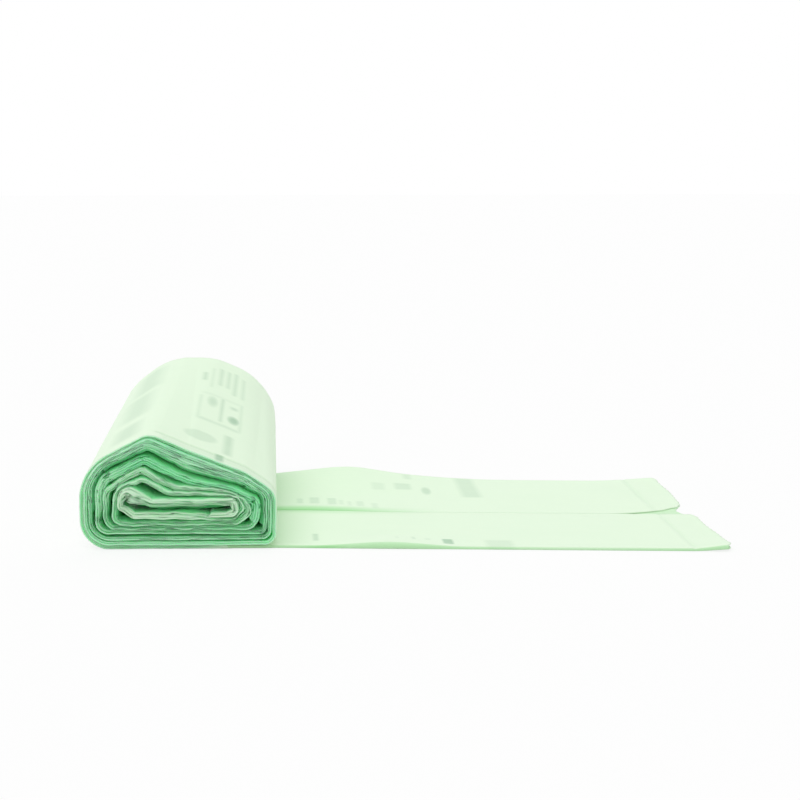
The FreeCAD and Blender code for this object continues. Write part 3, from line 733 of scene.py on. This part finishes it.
# The bottom seal, and the torn end: where the bag starts to follow it, its notch and its teeth
SEAL_X = 156.5
SEAL_PRESS = 0.16
SHAPED_END = 160.0
NOTCH = 4.1
NOTCH_Y = 3.0
TOOTH_PITCH = 3.5
TOOTH_DEPTH = 0.4
TOOTHLESS_CORNER = 3.0
# How far the rear edge is lifted, along the lead bag
REAR_EDGE = [
    (12.0, 0.0), (22.0, 0.9), (31.7, 2.2), (39.0, 3.0), (46.0, 3.9), (54.0, 4.7), (59.0, 4.7), (66.0, 3.7),
    (76.0, 2.1), (90.0, 0.9), (105.0, 0.15), (120.0, 0.0), (147.0, 0.0), (156.0, 0.4), (163.0, 1.0),
    (169.0, 1.4),
]


def bell(x, middle, reach):
    """1 at the middle and 0 from the reach outwards, with a smooth run between."""
    away = min(abs(x - middle) / reach, 1.0)
    return math.cos(0.5 * math.pi * away) ** 2


def drift(x):
    """How far to the rear the bag lies."""
    return -SLIP * min(x, SLIP_END) - DRIFT * max(x - DRIFT_START, 0.0)


def smooth_value(places, where):
    """The same as value_at, averaged over a short way so that no corner shows."""
    shifts = range(-4, 5)
    return sum(value_at(places, where + shift) for shift in shifts) / len(shifts)


def ground_lift(x, y):
    """Height of the lower ply over the table."""
    rear = min(max((y - REAR_RAMP_START) / (HALF - REAR_RAMP_START), 0.0), 1.0) ** 1.6
    front = min(max((-y - FRONT_RAMP_START) / (HALF - FRONT_RAMP_START), 0.0), 1.0) ** 2
    return rear * smooth_value(REAR_EDGE, x) + front * CORNER_LIFT * bell(x, LEAD_END + 1.0, 14.0)


def free_edge(x):
    """Where the rear flap's free edge lies."""
    sprung = min(max((x - SPRING_START) / (LEAD_END - SPRING_START), 0.0), 1.0)
    return SLIT_Y + 0.05 + 0.15 * bell(x, SLIT_X, 45.0) + SPRING_BACK * sprung ** 1.7


def ply_gap(x, y):
    """Distance from the lower ply to the flap over it."""
    opening = PUFF_RISE * bell(x, PUFF_X, 24.0) + END_OPENING * bell(x, LEAD_END, 13.0)
    fold = FOLD_GAP + opening * bell(y, -HALF + 1.5, 16.0)
    slit = SLIT_RISE * bell(x, SLIT_X, 34.0) * bell(y, SLIT_Y + 5.0, 11.0)
    resting = RESTING * bell(x, LEAD_END, 34.0) ** 0.5 * bell(y, free_edge(x), 9.0) if y > SLIT_Y else 0.0
    return fold + slit - max(resting, SEAL_PRESS * bell(x, SEAL_X, 1.0))


def tear_x(y):
    """Where the bag was torn off along its perforation."""
    notch = NOTCH * bell(y, NOTCH_Y, 12.0)
    corners = 1.6 * max(-y - 48.5, 0.0) ** 2 / 16.0 + 1.2 * max(y - 49.0, 0.0) ** 2 / 12.0
    from_corner = min(max(HALF - TOOTHLESS_CORNER - abs(y), 0.0) / 4.0, 1.0)
    tooth = abs((y / TOOTH_PITCH) % 1.0 - 0.5) * 2.0 * TOOTH_DEPTH * from_corner
    return LEAD_END - notch - corners - tooth + 0.35 * math.sin(0.19 * y + 2.0)


def painted_glow_shade_at(x, y, bulge_out):
    """How much painted green shade the film gets, the green that light through it would give: on the front
    fold's face, along the slit beside the roll, and close to the roll.
    """
    fold = max(-bulge_out, 0.0) ** 0.5 * (0.62 + 0.3 * bell(x, 44.0, 9.0) - 0.2 * bell(x, 120.0, 45.0))
    slit = bell(x, SLIT_X, 50.0) * (bell(y, SLIT_Y, 9.0) if y > SLIT_Y else 0.4 * bell(y, SLIT_Y, 5.0))
    return max(fold, slit, 0.12 * bell(x, 30.0, 15.0))


# Section across the bag, from the front flap's free edge round to the rear flap's: the part, the share of
# the way along it, how far up between the plies, and the bulge of the folds
across_points = []
FLAP_STEPS = 66
FOLD_STEPS = 10
for i in range(FLAP_STEPS + 1):
    across_points.append(("front flap", i / FLAP_STEPS, 1.0, 0.0))
for i in range(1, FOLD_STEPS):
    around = math.pi * i / FOLD_STEPS
    across_points.append(("front fold", 0.0, 0.5 + 0.5 * math.cos(around), -math.sin(around)))
for i in range(2 * FLAP_STEPS + 1):
    across_points.append(("lower ply", i / (2 * FLAP_STEPS), 0.0, 0.0))
for i in range(1, FOLD_STEPS):
    around = math.pi * i / FOLD_STEPS
    across_points.append(("rear fold", 0.0, 0.5 - 0.5 * math.cos(around), math.sin(around)))
for i in range(FLAP_STEPS + 1):
    across_points.append(("rear flap", i / FLAP_STEPS, 1.0, 0.0))


def place_across(part, share, x):
    """Place across the film of a point of one of its parts."""
    ends = {"front flap": (SLIT_Y - 0.05, -HALF), "front fold": (-HALF, -HALF), "lower ply": (-HALF, HALF),
            "rear fold": (HALF, HALF), "rear flap": (HALF, free_edge(x))}[part]
    return ends[0] + (ends[1] - ends[0]) * share


# Places along the bag: 1 mm apart, closer at the seal, and evenly from there to the torn end
SEAL_REACH = 1.5
SEAL_STEP = 0.25
END_STEPS = 16
lead_places = [LEAD_START + i for i in range(int(SEAL_X - SEAL_REACH - LEAD_START))]
lead_places += [SEAL_X - SEAL_REACH + SEAL_STEP * i for i in range(int(2 * SEAL_REACH / SEAL_STEP) + 1)]
end_length = LEAD_END - SHAPED_END + 1.0
lead_places += [SHAPED_END - 1.0 + i * end_length / END_STEPS for i in range(END_STEPS + 1)]
GROUND = 0.02
# Painted green shade on the lower ply, for where it shows in the gaps under the flaps
LOWER_GLOW_SHADE = 0.4

# Each point with its place on the laid-out film and its painted glow and shade, then the mesh and its
# thickness
vertices = []
lays = []
painted_glow_shades = []
for place in lead_places:
    for part, share, layer, bulge_out in across_points:
        y = place_across(part, share, place)
        x = place
        if place > SHAPED_END:
            x = SHAPED_END + (tear_x(y) - SHAPED_END) * (place - SHAPED_END) / (LEAD_END - SHAPED_END)
        gap = ply_gap(x, y)
        y_in = y * (1 - 0.5 * FOLD_GAP / HALF)
        z = 0.5 * PLY + GROUND + ground_lift(x, y) + layer * gap
        vertices.append((x * MM, (y_in + bulge_out * 0.5 * gap + drift(x)) * MM, z * MM))
        lays.append((-(x - LEAD_START) * MM, y * MM, layer))
        # Painted green shade also on the rear fold near the roll
        rear_fold = 0.5 * max(bulge_out, 0.0) * bell(x, LEAD_START, 30.0)
        painted_glow_shades.append(max(painted_glow_shade_at(x, y, bulge_out), rear_fold) if layer > 0.0 else LOWER_GLOW_SHADE)
rows = len(across_points)
faces = []
for a in range(len(lead_places) - 1):
    for b in range(rows - 1):
        corner = a * rows + b
        faces.append((corner, corner + 1, corner + rows + 1, corner + rows))
lead_mesh = bpy.data.meshes.new("lead_bag")
lead_mesh.from_pydata(vertices, [], faces)
lay_attribute = lead_mesh.attributes.new("lay", "FLOAT_VECTOR", "POINT")
lay_attribute.data.foreach_set("vector", [c for v in lays for c in v])
lead_mesh.attributes.new("painted_glow_shade", "FLOAT", "POINT").data.foreach_set("value", painted_glow_shades)
lead_mesh.materials.append(film)
lead = bpy.data.objects.new("lead_bag", lead_mesh)
scene.collection.objects.link(lead)
for polygon in lead_mesh.polygons:
    polygon.use_smooth = True
wall = lead.modifiers.new("film_thickness", "SOLIDIFY")
wall.thickness = PLY * MM
wall.offset = 0.0
lead = plain_mesh(lead, "lead_film")
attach(lead, "root")
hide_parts("bag_roll")

# Floor
# A plain white table top. It keeps the roll's soft shadow and otherwise shows as white, as a sheet of paper
# does that runs up behind the thing that lies on it.
FLOOR_SIZE = 8.0
SHARE_WHITE = 0.8
bpy.ops.mesh.primitive_plane_add(size=FLOOR_SIZE, location=(0, 0, 0))
floor = bpy.context.object
floor.name = "floor"
table = bpy.data.materials.new("table_top")
table.use_nodes = True
table_nodes = table.node_tree.nodes
table_links = table.node_tree.links
surface = table_nodes["Principled BSDF"]
surface.inputs["Base Color"].default_value = (0.96, 0.96, 0.96, 1)
surface.inputs["Roughness"].default_value = 0.9
surface.inputs["Specular IOR Level"].default_value = 0.1


def seen_share(tree):
    """1 for what is seen, also in a reflection or through something clear, and 0 for light on a surface."""
    path = tree.nodes.new("ShaderNodeLightPath")
    share = path.outputs["Is Camera Ray"]
    for ray in ("Is Glossy Ray", "Is Transmission Ray"):
        either = tree.nodes.new("ShaderNodeMath")
        either.operation = "MAXIMUM"
        tree.links.new(share, either.inputs[0])
        tree.links.new(path.outputs[ray], either.inputs[1])
        share = either.outputs[0]
    return share


white = table_nodes.new("ShaderNodeEmission")
share_white = table_nodes.new("ShaderNodeMath")
share_white.operation = "MULTIPLY"
share_white.inputs[1].default_value = SHARE_WHITE
table_links.new(seen_share(table.node_tree), share_white.inputs[0])
table_blend = table_nodes.new("ShaderNodeMixShader")
table_links.new(share_white.outputs[0], table_blend.inputs[0])
table_links.new(surface.outputs[0], table_blend.inputs[1])
table_links.new(white.outputs[0], table_blend.inputs[2])
table_links.new(table_blend.outputs[0], table_nodes["Material Output"].inputs["Surface"])
floor.data.materials.append(table)

# Light
# Even white light from all round, at a plain level, and a broad soft light from overhead, a little to the
# left and from the front. The background is seen as pure white.
SKY_LIGHT = 0.69
SKY_SEEN = 1.0
OVERHEAD_LIGHT = 0.95
OVERHEAD_SPREAD = 60
OVERHEAD_FROM = (-0.25, -0.15, 1.0)
world = bpy.data.worlds.new("studio")
scene.world = world
world.use_nodes = True
sky = world.node_tree.nodes["Background"]
sky.inputs["Color"].default_value = (1, 1, 1, 1)
strength = world.node_tree.nodes.new("ShaderNodeMapRange")
strength.inputs["To Min"].default_value = SKY_LIGHT
strength.inputs["To Max"].default_value = SKY_SEEN
world.node_tree.links.new(seen_share(world.node_tree), strength.inputs["Value"])
world.node_tree.links.new(strength.outputs[0], sky.inputs["Strength"])

sun = bpy.data.lights.new("overhead", "SUN")
sun.energy = OVERHEAD_LIGHT
sun.angle = math.radians(OVERHEAD_SPREAD)
overhead = bpy.data.objects.new("overhead", sun)
overhead.rotation_euler = Vector(OVERHEAD_FROM).to_track_quat("Z", "Y").to_euler()
scene.collection.objects.link(overhead)

# Camera
# It stands in front of the right side of the roll and looks a little down and to the right, so that the
# squashed end, the top of the roll and the whole lead bag show.
CAMERA_PLACE = (27.64 * MM, -552.37 * MM, 120.48 * MM)
LOOKS_DOWN = 8.543
LOOKS_RIGHT = 4.586
camera_data = bpy.data.cameras.new("camera")
camera_data.sensor_width = 36.0
camera_data.lens = 74.89
camera_data.clip_start = 0.01
camera = bpy.data.objects.new("camera", camera_data)
camera.location = CAMERA_PLACE
camera.rotation_euler = (math.radians(90 - LOOKS_DOWN), 0, -math.radians(LOOKS_RIGHT))
scene.collection.objects.link(camera)
scene.camera = camera
scene.view_settings.view_transform = "Standard"
